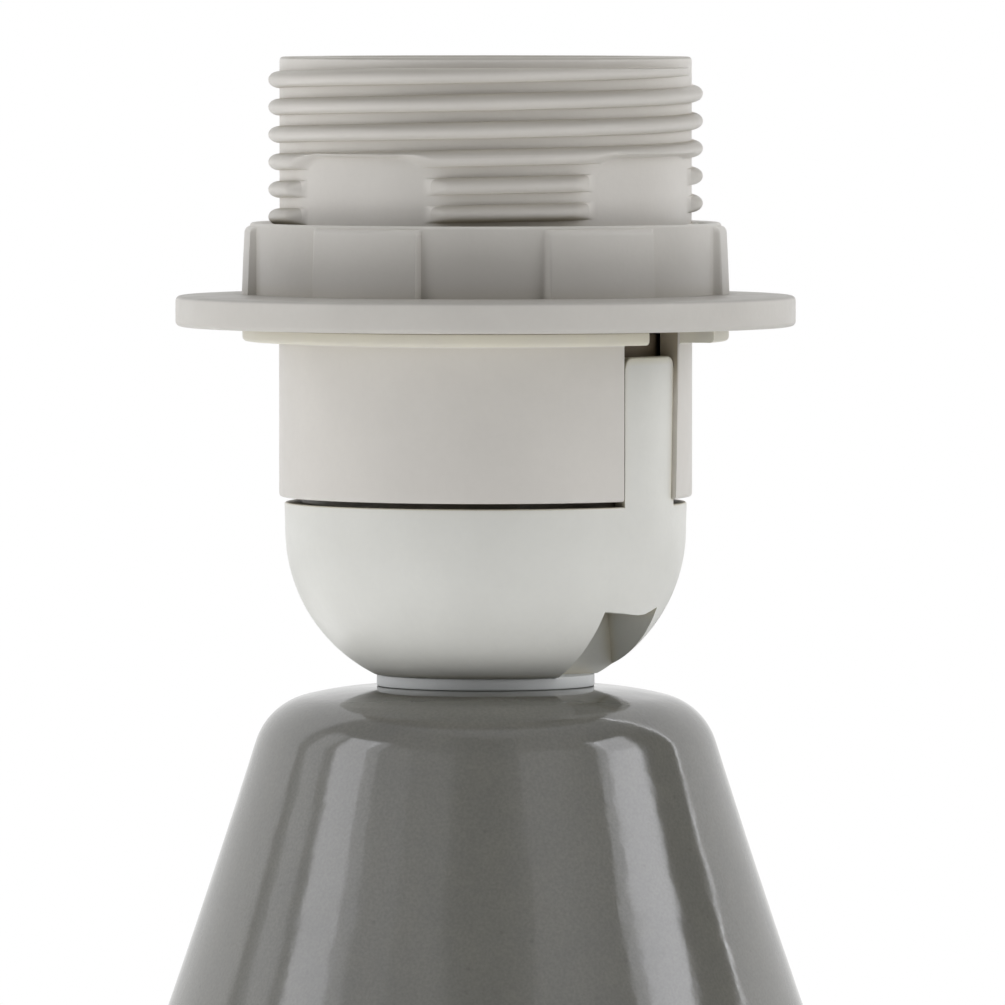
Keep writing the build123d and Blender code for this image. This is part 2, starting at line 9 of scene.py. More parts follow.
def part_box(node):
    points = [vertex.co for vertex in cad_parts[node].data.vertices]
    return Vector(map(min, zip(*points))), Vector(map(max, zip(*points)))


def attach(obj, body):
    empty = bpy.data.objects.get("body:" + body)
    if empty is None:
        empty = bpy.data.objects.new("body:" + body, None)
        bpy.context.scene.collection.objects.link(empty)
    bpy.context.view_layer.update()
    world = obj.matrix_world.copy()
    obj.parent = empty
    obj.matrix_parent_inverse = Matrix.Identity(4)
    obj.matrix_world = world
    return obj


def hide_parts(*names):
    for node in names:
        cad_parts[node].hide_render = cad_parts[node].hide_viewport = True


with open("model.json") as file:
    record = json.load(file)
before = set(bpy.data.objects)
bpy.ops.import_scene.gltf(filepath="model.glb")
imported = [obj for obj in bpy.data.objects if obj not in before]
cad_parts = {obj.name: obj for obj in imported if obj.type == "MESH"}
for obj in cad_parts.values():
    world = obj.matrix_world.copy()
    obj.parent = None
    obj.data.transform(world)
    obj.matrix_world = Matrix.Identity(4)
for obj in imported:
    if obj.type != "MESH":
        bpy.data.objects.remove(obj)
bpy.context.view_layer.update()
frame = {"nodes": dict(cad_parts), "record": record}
scene = bpy.context.scene
mm = 0.001

# Sizes are in mm, azimuths in degrees from the front towards +X, heights above the pad's underside.

# Levels, from the frame


def span(node):
    """The lowest and the highest level of a CAD node, in mm."""
    low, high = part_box(node)
    return low.z / mm, high.z / mm


def reach(node):
    """The outer radius of a CAD node about the lamp's axis, in mm."""
    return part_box(node)[1].x / mm


body_foot, body_top = span("ceramic_body")
spacer_foot, spacer_top = span("neck_spacer")
barrel_foot, barrel_top = span("barrel_shell")
lip_top, flange_top = span("ring_flange")
collar_foot, collar_top = span("ring_collar")
carrier_foot, carrier_top = span("contact_carrier")
tongue_top = span("dome_cap")[1]
body_radius = reach("ceramic_body")
spacer_radius = reach("neck_spacer")
lip_radius = reach("barrel_shell")
flange_radius = reach("ring_flange")


# Mesh tools


def at(radius, azimuth, height):
    """A point from a radius, an azimuth and a height."""
    turn = math.radians(azimuth)
    return Vector((radius * math.sin(turn), -radius * math.cos(turn), height)) * mm


def circle(centre, radius, start, end, steps):
    """Points (radius, height) along an arc, with angles in degrees above the horizontal."""
    points = []
    for step in range(steps + 1):
        angle = math.radians(start + (end - start) * step / steps)
        points.append((centre[0] + radius * math.cos(angle), centre[1] + radius * math.sin(angle)))
    return points


def rounded(corners, steps=4):
    """Points (radius, height) of an outline from corners of radius, height and rounding."""
    points = []
    for index, (radius, height, rounding) in enumerate(corners):
        here = Vector((radius, height))
        if rounding == 0:
            points.append((radius, height))
            continue
        before = (Vector(corners[index - 1][:2]) - here).normalized()
        after = (Vector(corners[(index + 1) % len(corners)][:2]) - here).normalized()
        half = before.angle(after) / 2
        centre = here + (before + after).normalized() * rounding / math.sin(half)
        first = here + before * rounding / math.tan(half) - centre
        last = here + after * rounding / math.tan(half) - centre
        angle = math.degrees(math.atan2(first.y, first.x))
        turn = math.degrees(math.atan2(last.y, last.x)) - angle
        turn = (turn + 180) % 360 - 180
        points += circle(centre, rounding, angle, angle + turn, steps)
    return points


def finish_mesh(name, mesh, sharp=35):
    """An object from a bmesh, with merged points, outward faces and smooth shading."""
    bmesh.ops.remove_doubles(mesh, verts=mesh.verts, dist=0.0005 * mm)
    bmesh.ops.dissolve_degenerate(mesh, edges=mesh.edges, dist=0.0005 * mm)
    bmesh.ops.recalc_face_normals(mesh, faces=mesh.faces)
    data = bpy.data.meshes.new(name)
    mesh.to_mesh(data)
    mesh.free()
    data.shade_smooth()
    data.set_sharp_from_angle(angle=math.radians(sharp))
    piece = bpy.data.objects.new(name, data)
    scene.collection.objects.link(piece)
    return piece


def skin(name, columns, sharp=35):
    """A closed piece from outlines at azimuths around the axis; the last outline meets the first."""
    mesh = bmesh.new()
    rows = [[mesh.verts.new(spot) for spot in column] for column in columns]
    for first, second in zip(rows, rows[1:]):
        for row in range(len(first)):
            below = row - 1
            mesh.faces.new((first[below], second[below], second[row], first[row]))
    return finish_mesh(name, mesh, sharp)


def turned(name, outline, count=240, sharp=35):
    """A piece turned about the axis; the outline is points, or a function of the azimuth."""
    columns = []
    for number in range(count + 1):
        azimuth = 360 * number / count
        points = outline(azimuth) if callable(outline) else outline
        columns.append([at(radius, azimuth, height) for radius, height in points])
    return skin(name, columns, sharp)


def stack(name, loops, place=Matrix.Identity(4)):
    """A closed piece from level loops of points, one above the other, in mm, set in place."""
    mesh = bmesh.new()
    rings = [[mesh.verts.new(place @ (Vector(spot) * mm)) for spot in loop] for loop in loops]
    for lower, upper in zip(rings, rings[1:]):
        for index in range(len(lower)):
            mesh.faces.new((lower[index - 1], lower[index], upper[index], upper[index - 1]))
    mesh.faces.new(rings[0])
    mesh.faces.new(rings[-1])
    return finish_mesh(name, mesh)


def ring_of(radius, height, count=64):
    """A loop of points around a circle."""
    turns = [2 * math.pi * number / count for number in range(count)]
    return [(radius * math.cos(turn), radius * math.sin(turn), height) for turn in turns]


def combine(piece, tool, operation, sharp=35):
    """Joins a tool to a piece, cuts it away or keeps what both share, and removes the tool."""
    step = piece.modifiers.new("combine", "BOOLEAN")
    step.operation = operation
    step.solver = "EXACT"
    step.object = tool
    graph = bpy.context.evaluated_depsgraph_get()
    data = bpy.data.meshes.new_from_object(piece.evaluated_get(graph))
    piece.modifiers.clear()
    piece.data = data
    bpy.data.objects.remove(tool)
    data.shade_smooth()
    data.set_sharp_from_angle(angle=math.radians(sharp))


def smooth(low, high, value):
    """0 below low, 1 above high, and an even curve between."""
    share = min(max((value - low) / (high - low), 0), 1)
    return share * share * (3 - 2 * share)


def turn_from(azimuth, middle, period=360):
    """The signed angle from the nearest middle of a repeated feature."""
    return (azimuth - middle + period / 2) % period - period / 2


# Ceramic body

flat_radius = 9
crown_radius = 32
shoulder_radius = 6.25
shoulder_centre_radius = 15.05
flank_start_angle = 17.5
flank_angle = 19
flare_radius = 900
body_wall = 5
neck_wall = 6
neck_hole_radius = 5.6
hole_lip = 0.4
foot_rounding = 4
foot_ring_width = 5.5
bore_edge = 0.5
ledge_width = 4
ledge_thickness = 4
ledge_foot = span("base_board")[1]
ledge_top = ledge_foot + ledge_thickness
cavity_rounding = 4
crown_steps = 8
shoulder_steps = 16
flare_steps = 8
flank_steps = 48
body_columns = 256

crown_centre = (flat_radius, body_top - crown_radius)
crown_reach = shoulder_centre_radius - flat_radius
crown_end = 90 - math.degrees(math.asin(crown_reach / (crown_radius - shoulder_radius)))
shoulder_centre = circle(crown_centre, crown_radius - shoulder_radius, crown_end, crown_end, 1)[0]
flank_start = circle(shoulder_centre, shoulder_radius, flank_start_angle, flank_start_angle, 1)[0]
flare_centre = circle(flank_start, flare_radius, flank_start_angle, flank_start_angle, 1)[0]
flare_end = circle(flare_centre, flare_radius, 180 + flank_angle, 180 + flank_angle, 1)[0]
flank_slope = math.tan(math.radians(flank_angle))
side_wall = body_wall / math.cos(math.radians(flank_angle))


def flank_radius(height):
    """The outer radius of the straight flank."""
    return flare_end[0] + (flare_end[1] - height) * flank_slope


foot_flat_radius = body_radius - foot_rounding / math.tan(math.radians(90 - flank_angle) / 2)
foot_bore_radius = foot_flat_radius - foot_ring_width
ledge_bore_radius = foot_bore_radius - ledge_width
neck_underside = body_top - neck_wall

flare_angles = (180 + flank_start_angle, 180 + flank_angle)
body_outline = circle(crown_centre, crown_radius, 90, crown_end, crown_steps)
body_outline += circle(shoulder_centre, shoulder_radius, crown_end, flank_start_angle, shoulder_steps)[1:]
body_outline += circle(flare_centre, flare_radius, *flare_angles, flare_steps)[1:]
foot_corner = (flank_radius(body_foot), body_foot, foot_rounding)
flank_end = body_foot + 2 * foot_rounding
for step in range(1, flank_steps):
    level = flare_end[1] + (flank_end - flare_end[1]) * step / flank_steps
    body_outline.append((flank_radius(level), level))
inside = [
    (flank_radius(flank_end), flank_end, 0),
    foot_corner,
    (foot_bore_radius, body_foot, bore_edge),
    (foot_bore_radius, ledge_foot, 0),
    (ledge_bore_radius, ledge_foot, 0),
    (ledge_bore_radius, ledge_top, bore_edge),
    (flank_radius(ledge_top) - side_wall, ledge_top, cavity_rounding),
    (flank_radius(neck_underside) - side_wall, neck_underside, cavity_rounding),
    (neck_hole_radius, neck_underside, 0),
    (neck_hole_radius, body_top, hole_lip),
    (flat_radius, body_top, 0),
]
body_outline += rounded(inside, 6)[:-1]

# Soft ripples in the glaze, drawn out along the flank

ripple_height = 0.03
ripple_scale = 90
ripple_stretch = 0.6
ripple_radius = flat_radius * 1.5
ripple_level = 2 * foot_rounding
glazed_body = turned("glazed_body", body_outline, body_columns)
for vertex in glazed_body.data.vertices:
    across = Vector((vertex.co.x, vertex.co.y, 0))
    if across.length > ripple_radius * mm and vertex.co.z > ripple_level * mm:
        place = Vector((vertex.co.x, vertex.co.y, ripple_stretch * vertex.co.z))
        swell = noise.noise(place * ripple_scale)
        vertex.co += across.normalized() * swell * ripple_height * mm

# Cord inlet's seat and hole in the back of the body

inlet_height = 20
inlet_level = body_foot + inlet_height
seat_radius = 7.5
seat_depth = 0.6
inlet_hole_radius = 5
inlet_place = Matrix.Translation(Vector((0, flank_radius(inlet_level), inlet_level)) * mm)
inlet_place = inlet_place @ Matrix.Rotation(math.radians(flank_angle - 90), 4, "X")
seat_loops = [ring_of(seat_radius, -seat_depth), ring_of(seat_radius, seat_radius)]
combine(glazed_body, stack("seat_cut", seat_loops, inlet_place), "DIFFERENCE")
hole_loops = [ring_of(inlet_hole_radius, -2 * body_wall), ring_of(inlet_hole_radius, body_wall)]
combine(glazed_body, stack("hole_cut", hole_loops, inlet_place), "DIFFERENCE")

# Spacer ring

tube_hole_radius = 5.05
spacer_edge = 0.12
spacer_outline = rounded(
    [
        (tube_hole_radius, spacer_foot, 0),
        (spacer_radius, spacer_foot, spacer_edge),
        (spacer_radius, spacer_top, spacer_edge),
        (tube_hole_radius, spacer_top, 0),
    ]
)
spacer_ring = turned("spacer_ring", spacer_outline, 160)

# Dome cap with its latch tongue

dome_gap = 0.5
dome_top = barrel_foot - dome_gap
dome_rim_radius = 18.36
dome_side_radius = 18.3
dome_side_height = 2.5
dome_arc_radius = 14.8
dome_wall = 2
dome_floor_thickness = 3
dome_floor_height = spacer_top + dome_floor_thickness
boss_radius = 7.6
boss_top = 174
spigot_radius = 16.8
spigot_wall = 1.6
spigot_depth = 3.8
spigot_edge = 0.2
spigot_top = carrier_foot
rim_edge = 0.2
tongue_start = 43.4
tongue_end = 68.3
tongue_thickness = 1.3
tongue_corner = 1.0
tongue_edge = 0.2
corner_steps = 6

arc_centre = (dome_side_radius - dome_arc_radius, dome_top - dome_side_height)
arc_drop = arc_centre[1] - spacer_top
foot_angle = -math.degrees(math.asin(arc_drop / dome_arc_radius))
inner_arc = dome_arc_radius - dome_wall
inner_drop = arc_centre[1] - dome_floor_height
inner_angle = -math.degrees(math.asin(inner_drop / inner_arc))
dome_inner_side = dome_side_radius - dome_wall
spigot_bore = spigot_radius - spigot_wall
spigot_root = dome_top - spigot_depth


def tongue_rise(azimuth):
    """How high the tongue's top stands over the dome's rim, lower towards its rounded corners."""
    middle = (tongue_start + tongue_end) / 2
    half = (tongue_end - tongue_start) / 2
    side = math.radians(half - abs(turn_from(azimuth, middle))) * dome_rim_radius
    full = tongue_top - dome_top
    if side >= tongue_corner:
        return full
    gap = 1 - max(side, 0) / tongue_corner
    return full - tongue_corner * (1 - math.sqrt(1 - gap * gap))


def dome_outline(azimuth, tongue):
    """The dome's closed outline; the tongue's rows lie flat on the rim where there is no tongue."""
    rise = tongue_rise(azimuth) if tongue else 0
    tongue_inner = dome_rim_radius - tongue_thickness
    points = circle(arc_centre, dome_arc_radius, foot_angle, 0, 28)
    points.append((dome_rim_radius, dome_top - rim_edge))
    edge = circle((dome_rim_radius - tongue_edge, -tongue_edge), tongue_edge, 0, 90, 4)
    edge += circle((tongue_inner + tongue_edge, -tongue_edge), tongue_edge, 90, 180, 4)
    for radius, drop in edge:
        outer_edge = radius > dome_rim_radius - tongue_edge
        level = dome_top + rise + drop if tongue or outer_edge else dome_top
        points.append((radius, level))
    points.append((tongue_inner, dome_top))
    points += [
        (spigot_radius, dome_top),
        (spigot_radius, spigot_top - spigot_edge),
        (spigot_radius - spigot_edge, spigot_top),
        (spigot_bore, spigot_top),
        (spigot_bore, spigot_root),
        (dome_inner_side, spigot_root),
    ]
    points += circle(arc_centre, inner_arc, 0, inner_angle, 16)
    points += [
        (boss_radius, dome_floor_height),
        (boss_radius, boss_top),
        (tube_hole_radius, boss_top),
        (tube_hole_radius, spacer_top),
    ]
    return points


def spread(stops, count):
    """Azimuths from 0 to 360, evenly spaced between stops."""
    azimuths = []
    for start, end in zip(stops, stops[1:]):
        steps = max(1, round(count * (end - start) / 360))
        azimuths += [start + (end - start) * step / steps for step in range(steps)]
    return azimuths + [stops[-1]]


corner_turn = math.degrees(tongue_corner / dome_rim_radius)
corner_stops = [tongue_start + corner_turn * step / corner_steps for step in range(corner_steps + 1)]
corner_stops += [tongue_end - corner_turn * step / corner_steps for step in range(corner_steps, -1, -1)]
columns = []
for azimuth in spread([0] + corner_stops + [360], 240):
    if azimuth == tongue_start:
        columns.append([at(r, azimuth, z) for r, z in dome_outline(azimuth, False)])
    tongue = tongue_start <= azimuth <= tongue_end
    columns.append([at(r, azimuth, z) for r, z in dome_outline(azimuth, tongue)])
    if azimuth == tongue_end:
        columns.append([at(r, azimuth, z) for r, z in dome_outline(azimuth, False)])
dome_moulding = skin("dome_moulding", columns)

# Pocket low on the dome, with walls inside

pocket_azimuth = 35
pocket_back = 5.7
pocket_front = 40
pocket_sides = (0.85, 10.35)
pocket_top = spacer_top + 6.3
wall_front = 30
wall_sides = (-0.6, 11.8)
wall_foot = spacer_top + 0.5
wall_overlap = 1
screw_side = 2.7
screw_level = spacer_top + 3.6
screw_hole_radius = 1.55
screw_hole_start = 3
pocket_place = Matrix.Rotation(math.radians(pocket_azimuth - 90), 4, "Z")
pocket_lie = pocket_place @ Matrix.Rotation(math.radians(90), 4, "Y")
pocket_ceiling = [
    (1.7, -0.1),
    (2.7, -0.18),
    (4.0, -0.3),
    (5.4, -0.5),
    (6.5, -0.6),
    (7.5, -0.56),
    (8.4, -0.32),
    (9.0, -0.12),
    (9.5, 0.0),
]


def pocket_block(name, outline, back, front):
    """A block along the pocket's azimuth, from its outline of (side, height)."""
    loops = [[(-height, side, out) for side, height in outline] for out in (back, front)]
    return stack(name, loops, pocket_lie)


inner_outline = circle(arc_centre, dome_arc_radius - dome_wall / 2, foot_angle, 0, 24)
inner_outline += [(boss_radius - wall_overlap, level) for level in (arc_centre[1], wall_foot)]
pocket_walls = turned("pocket_walls", inner_outline, 120)
near, far = wall_sides
wall_outline = [(near, wall_foot), (far, wall_foot), (far, boss_top), (near, boss_top)]
wall_block = pocket_block("wall_block", wall_outline, tube_hole_radius, wall_front)
combine(pocket_walls, wall_block, "INTERSECT")
combine(dome_moulding, pocket_walls, "UNION")
cut_outline = [(side, spacer_top - 1) for side in pocket_sides]
cut_outline += [(side, pocket_top + sag) for side, sag in reversed(pocket_ceiling)]
pocket_cut = pocket_block("pocket_cut", cut_outline, pocket_back, pocket_front)
combine(dome_moulding, pocket_cut, "DIFFERENCE")
screw_place = pocket_place @ Matrix.Translation(Vector((0, screw_side, screw_level)) * mm)
screw_place = screw_place @ Matrix.Rotation(math.radians(90), 4, "Y")
screw_loops = [ring_of(screw_hole_radius, depth) for depth in (screw_hole_start, pocket_back + 1)]
combine(dome_moulding, stack("screw_cut", screw_loops, screw_place), "DIFFERENCE")

# Barrel with its thread, its lip and the tongue's slot

barrel_radius = 18.85
lower_bore = 17
upper_bore = 15.9
lip_thickness = 1.2
lip_foot = lip_top - lip_thickness
entry_radius = 14.3
entry_depth = 4
entry_chamfer = 0.8
slot_start = 41.7
slot_end = 68.9
slot_slant = 2.3
slot_slant_fade = 9
slant_top = lip_foot - 0.3
thread_pitch = 2.5
thread_root = 18.8
thread_height = 1.03
thread_width = 1.54
thread_power = 2.0
thread_level = barrel_top - 0.924
thread_top_azimuth = 80
thread_cap = barrel_top - 1.04
thread_cap_edge = 0.12
thread_turns = 9
thread_fade = 40
thread_fade_power = 0.7
thread_foot_fade = 14
gaps = ((-38.1, 6.95), (54.4, 7.55))
gap_period = 180
gap_corner = (3.0, 2.2)
gap_nose = 2.3
gap_ledge = 0.3
gap_top = barrel_top - 9.0
gap_depth = 0.05
rim_rounding = 0.35
thread_end = barrel_top - rim_rounding
barrel_columns = 480
thread_sharp = 50

flank_turns = [math.radians(15 * step) for step in range(-6, 7)]
row_offsets = [math.copysign(abs(math.sin(turn)) ** (2 / thread_power), turn) for turn in flank_turns]
row_offsets = [offset * thread_width / 2 for offset in row_offsets]
row_offsets += [thread_pitch * share for share in (0.38, 0.5, 0.62)]


def thread_rise(azimuth, height):
    """How far the thread stands over its root."""
    lag = (azimuth - thread_top_azimuth) % 360 - 360
    place = (height - thread_level) / thread_pitch - lag / 360
    turn = min(round(place), 0)
    offset = abs(place - turn) * thread_pitch
    if offset >= thread_width / 2:
        return 0
    along = turn * 360 + lag
    top_end = min(-along / thread_fade, 1) ** thread_fade_power
    ends = top_end * smooth(0, thread_foot_fade, along + 360 * thread_turns)
    cap = min(max((thread_cap - height) / thread_cap_edge + 1, 0), 1)
    shape = (1 - (2 * offset / thread_width) ** thread_power) ** (1 / thread_power)
    return thread_height * ends * cap * shape


def gap_share(azimuth, height):
    """0 in the bare gaps, rising to 1 past the soft ends of the thread beside them."""
    share = 1
    across, tall = gap_corner
    for middle, half in gaps:
        side = math.radians(abs(turn_from(azimuth, middle, gap_period))) * thread_root - half
        rest = Vector((max(side / across + 1, 0), max((height - gap_top) / tall + 1, 0)))
        if rest.length <= 1:
            return 0
        sideways = (rest.x / rest.length) ** 2
        away = (rest.length - 1) * (across * sideways + tall * (1 - sideways))
        share = min(share, away / (gap_ledge + (gap_nose - gap_ledge) * sideways))
    return (share + smooth(0, 1, share)) / 2


def barrel_surface(azimuth, height):
    """The thread's surface, with the bare gaps."""
    share = gap_share(azimuth, height)
    drop = gap_depth * (1 - min(2 * share, 1))
    return thread_root - drop + thread_rise(azimuth, height) * share


def thread_rows(azimuth):
    """The heights of the barrel's rows of points at an azimuth, which climb with the thread."""
    level = thread_level + thread_pitch * (azimuth - thread_top_azimuth) / 360
    turns = math.ceil((level + thread_pitch * (360 - azimuth) / 360 - lip_top) / thread_pitch) + 1
    heights = [level + offset - thread_pitch * turn for turn in range(-2, turns) for offset in row_offsets]
    heights += [thread_cap, thread_cap + thread_cap_edge, gap_top, gap_top + gap_ledge]
    return sorted(min(max(height, lip_top), thread_end) for height in heights)


def barrel_outline(azimuth, slot):
    """The barrel's closed outline at an azimuth."""
    points = rounded(
        [
            (lower_bore, barrel_foot, 0.2),
            (barrel_radius, barrel_foot, 0.3),
            (barrel_radius, lip_foot, 0.25),
            (lip_radius, lip_foot, 0.4),
            (lip_radius, lip_top, 0.15),
            (thread_root, lip_top, 0),
            (thread_root, carrier_top, 0),
        ]
    )[:-1]
    for height in thread_rows(azimuth):
        points.append((barrel_surface(azimuth, height), height))
    rim_start = points[-1][0]
    points += circle((rim_start - rim_rounding, thread_end), rim_rounding, 0, 90, 5)[1:]
    points += [
        (entry_radius + entry_chamfer, barrel_top),
        (entry_radius, barrel_top - entry_chamfer),
        (entry_radius, barrel_top - entry_depth),
        (upper_bore, barrel_top - entry_depth),
        (upper_bore, carrier_top),
        (lower_bore, carrier_top),
    ]
    if slot:
        points = [(min(r, thread_root), lip_top) if z < lip_top else (r, z) for r, z in points]
    return points


def barrel_column(azimuth, slot):
    """The barrel's points at an azimuth; those outside lean towards the slot's far wall near it."""
    near = 1 - min(max((azimuth - slot_end) / slot_slant_fade, 0), 1) if azimuth >= slot_end else 0
    column = []
    for radius, height in barrel_outline(azimuth, slot):
        lean = near * slot_slant * smooth(lower_bore, barrel_radius, radius)
        if slot or height > slant_top:
            lean = 0
        column.append(at(radius, azimuth - lean, height))
    return column


stops = {0, slot_start, slot_end, 360}
for middle, half in gaps:
    for side in (half, half + gap_nose):
        reach_angle = math.degrees(side / thread_root)
        for azimuth in (middle - reach_angle, middle + reach_angle):
            stops.update((azimuth % 360, (azimuth + gap_period) % 360))
columns = []
for azimuth in spread(sorted(stops), barrel_columns):
    if azimuth == slot_start:
        columns.append(barrel_column(azimuth, False))
    columns.append(barrel_column(azimuth, slot_start <= azimuth <= slot_end))
    if azimuth == slot_end:
        columns.append(barrel_column(azimuth, False))
barrel_moulding = skin("barrel_moulding", columns, thread_sharp)

# Shade ring: flange and collar

ring_bore = 20.1
flange_slope_start = 22.6
flange_rise = 0.15
flange_drop = 0.2
flange_edge = 0.45
flange_outline = rounded(
    [
        (ring_bore, lip_top, 0.2),
        (flange_slope_start, lip_top, 0),
        (flange_radius, lip_top + flange_rise, flange_edge),
        (flange_radius, flange_top - flange_drop, flange_edge),
        (flange_slope_start, flange_top, 0),
        (ring_bore, flange_top, 0),
    ]
)
flange_moulding = turned("flange_moulding", flange_outline, 240)

collar_radius = 21.5
grip_foot_radius = 22.25
grip_bend_radius = 22.13
grip_bend = collar_foot + 3
grip_top_radius = 22.0
grip_azimuth = 29.4
grip_angle = 29.2
grip_side = 0.6
grip_gap = 0.2
grip_rounding = 0.6
grip_period = 60
collar_rounding = 0.3
collar_chamfer = 0.3
ridge_width = 1.6
ridge_flat = 0.5
ridge_reach = 0.95
ridge_inset = 1
ridge_fade = 0.5
ridge_steps = 24


def grip_share(azimuth):
    """1 on a grip, 0 between the grips, and a soft side between."""
    away = abs(turn_from(azimuth, grip_azimuth, grip_period))
    return 1 - smooth(grip_angle / 2 - grip_side, grip_angle / 2 + grip_side, away)


def collar_outline(azimuth):
    """The collar's closed outline, with its grips and the ridge inside."""
    share = grip_share(azimuth)
    grip_top = collar_top - grip_gap
    bend = grip_top - grip_rounding
    side = ((collar_foot, grip_foot_radius), (grip_bend, grip_bend_radius), (bend, grip_top_radius))
    points = []
    for height, grip in side:
        points.append((collar_radius + (grip - collar_radius) * share, height))
    for radius, height in circle((grip_top_radius - grip_rounding, bend), grip_rounding, 15, 90, 5):
        radius = max(radius, collar_radius)
        points.append((collar_radius + (radius - collar_radius) * share, height))
    points += circle((collar_radius - collar_rounding, grip_top), collar_rounding, 15, 90, 4)
    points += [(ring_bore + collar_chamfer, collar_top), (ring_bore, collar_top - collar_chamfer)]
    inside_top = collar_top - ridge_inset
    inside_foot = collar_foot + ridge_inset
    for step in range(ridge_steps + 1):
        height = inside_top + (inside_foot - inside_top) * step / ridge_steps
        place = (height - thread_level) / thread_pitch - (azimuth - thread_top_azimuth) / 360 + 0.5
        offset = abs(place - round(place)) * thread_pitch
        edge = min(height - inside_foot, inside_top - height)
        shape = 1 - smooth(ridge_flat / 2, ridge_width / 2, offset)
        rise = ridge_reach * smooth(0, ridge_fade, edge) * shape
        points.append((ring_bore - rise, height))
    points.append((ring_bore, collar_foot))
    return points


collar_moulding = turned("collar_moulding", collar_outline, 720, 40)

# Felt pad

felt_foot, felt_top = span("felt_pad")
felt_radius = reach("felt_pad")
felt_centre = 0.01
felt_edge = 0.7
fuzz_depth = 0.15
fuzz_scale = 900
felt_outline = rounded(
    [
        (felt_centre, felt_foot, 0),
        (felt_radius, felt_foot, felt_edge),
        (felt_radius, felt_top, felt_edge),
        (felt_centre, felt_top, 0),
    ]
)
felt_disc = turned("felt_disc", felt_outline, 240)
for vertex in felt_disc.data.vertices:
    across = Vector((vertex.co.x, vertex.co.y, 0))
    if across.length > felt_radius * mm / 2:
        fuzz = noise.noise(vertex.co * fuzz_scale)
        vertex.co += across.normalized() * (fuzz - 0.5) * fuzz_depth * mm

# Materials


def material(name, colour, roughness, specular=0.5, metallic=0.0):
    """A new material, its tree and its shader."""
    made = bpy.data.materials.new(name)
    made.use_nodes = True
    tree = made.node_tree
    shader = tree.nodes["Principled BSDF"]
    shader.inputs["Base Color"].default_value = (*colour, 1)
    shader.inputs["Roughness"].default_value = roughness
    shader.inputs["Specular IOR Level"].default_value = specular
    shader.inputs["Metallic"].default_value = metallic
    return made, tree, shader


def add(tree, kind, inputs, **settings):
    """A shader node with its settings, and with its inputs linked or set."""
    node = tree.nodes.new("ShaderNode" + kind)
    for key, value in settings.items():
        setattr(node, key, value)
    for key, value in inputs.items():
        if isinstance(value, bpy.types.NodeSocket):
            tree.links.new(value, node.inputs[key])
        else:
            node.inputs[key].default_value = value
    return node


def remap(tree, value, start, end, low, high, soft=False):
    """A value's range from start to end mapped to low and high and clamped, straight or soft."""
    inputs = {"Value": value, "From Min": start, "From Max": end, "To Min": low, "To Max": high}
    curve = "SMOOTHSTEP" if soft else "LINEAR"
    return add(tree, "MapRange", inputs, interpolation_type=curve).outputs["Result"]


def compute(tree, operation, *values):
    """The result of a math node; each value is a socket or a number."""
    return add(tree, "Math", dict(enumerate(values)), operation=operation).outputs[0]


def both(tree, first, second):
    """The product of two shares."""
    return compute(tree, "MULTIPLY", first, second)


def blend_value(tree, share, first, second):
    """A mix of two values; each is a socket or a number."""
    return add(tree, "Mix", {0: share, 2: first, 3: second}, data_type="FLOAT").outputs[0]


def blend_colour(tree, share, first, second):
    """A mix of two colours; each is a socket or a colour."""
    mix = add(tree, "Mix", {}, data_type="RGBA")
    for key, value in (("A_Color", first), ("B_Color", second)):
        socket = next(item for item in mix.inputs if item.identifier == key)
        if isinstance(value, bpy.types.NodeSocket):
            tree.links.new(value, socket)
        else:
            socket.default_value = (*value, 1)
    tree.links.new(share, mix.inputs[0])
    return next(item for item in mix.outputs if item.identifier == "Result_Color")


def tint(colour, factor, warm=0.0):
    """A colour made lighter or darker, and warmer."""
    red, green, blue = colour
    return (red * factor, green * factor * (1 - warm * 0.3), blue * factor * (1 - warm))


def object_place(tree):
    """The place of a point on the object, in metres."""
    return add(tree, "TexCoord", {}).outputs["Object"]


def level_of(tree):
    """The height of a point on the object, in metres."""
    return add(tree, "SeparateXYZ", {0: object_place(tree)}).outputs["Z"]


def cloud(tree, scale, low=0.0, high=1.0, detail=3.0, stretch=None):
    """Noise over the object, mapped from low to high."""
    place = object_place(tree)
    if stretch:
        place = add(tree, "Mapping", {"Vector": place, "Scale": stretch}).outputs["Vector"]
    inputs = {"Vector": place, "Scale": scale, "Detail": detail, "Roughness": 0.55}
    grain = add(tree, "TexNoise", inputs).outputs["Fac"]
    return remap(tree, grain, 0.3, 0.7, low, high)


def bump(tree, shader, heights):
    """Bumps one over the other, each of a height socket, a depth in mm and a strength."""
    last = None
    for height, depth, strength in heights:
        inputs = {"Height": height, "Distance": depth * mm, "Strength": strength}
        if last:
            inputs["Normal"] = last
        last = add(tree, "Bump", inputs).outputs["Normal"]
    tree.links.new(last, shader.inputs["Normal"])


def crevice(tree, distance, low, high):
    """0 on open surfaces and 1 deep in corners."""
    shade = add(tree, "AmbientOcclusion", {"Distance": distance * mm}, samples=6)
    return remap(tree, shade.outputs["AO"], high, low, 0.0, 1.0)


def facing_up(tree, low, high, depth):
    """0 where the normal's Z is under low, rising to a depth where it reaches high."""
    normal = add(tree, "NewGeometry", {}).outputs["Normal"]
    up = add(tree, "SeparateXYZ", {0: normal}).outputs["Z"]
    return remap(tree, up, low, high, 0.0, depth, soft=True)


def level_fade(tree, first, last, share):
    """0 at the first level, in mm, rising to a share at the last."""
    return remap(tree, level_of(tree), first * mm, last * mm, 0.0, share)


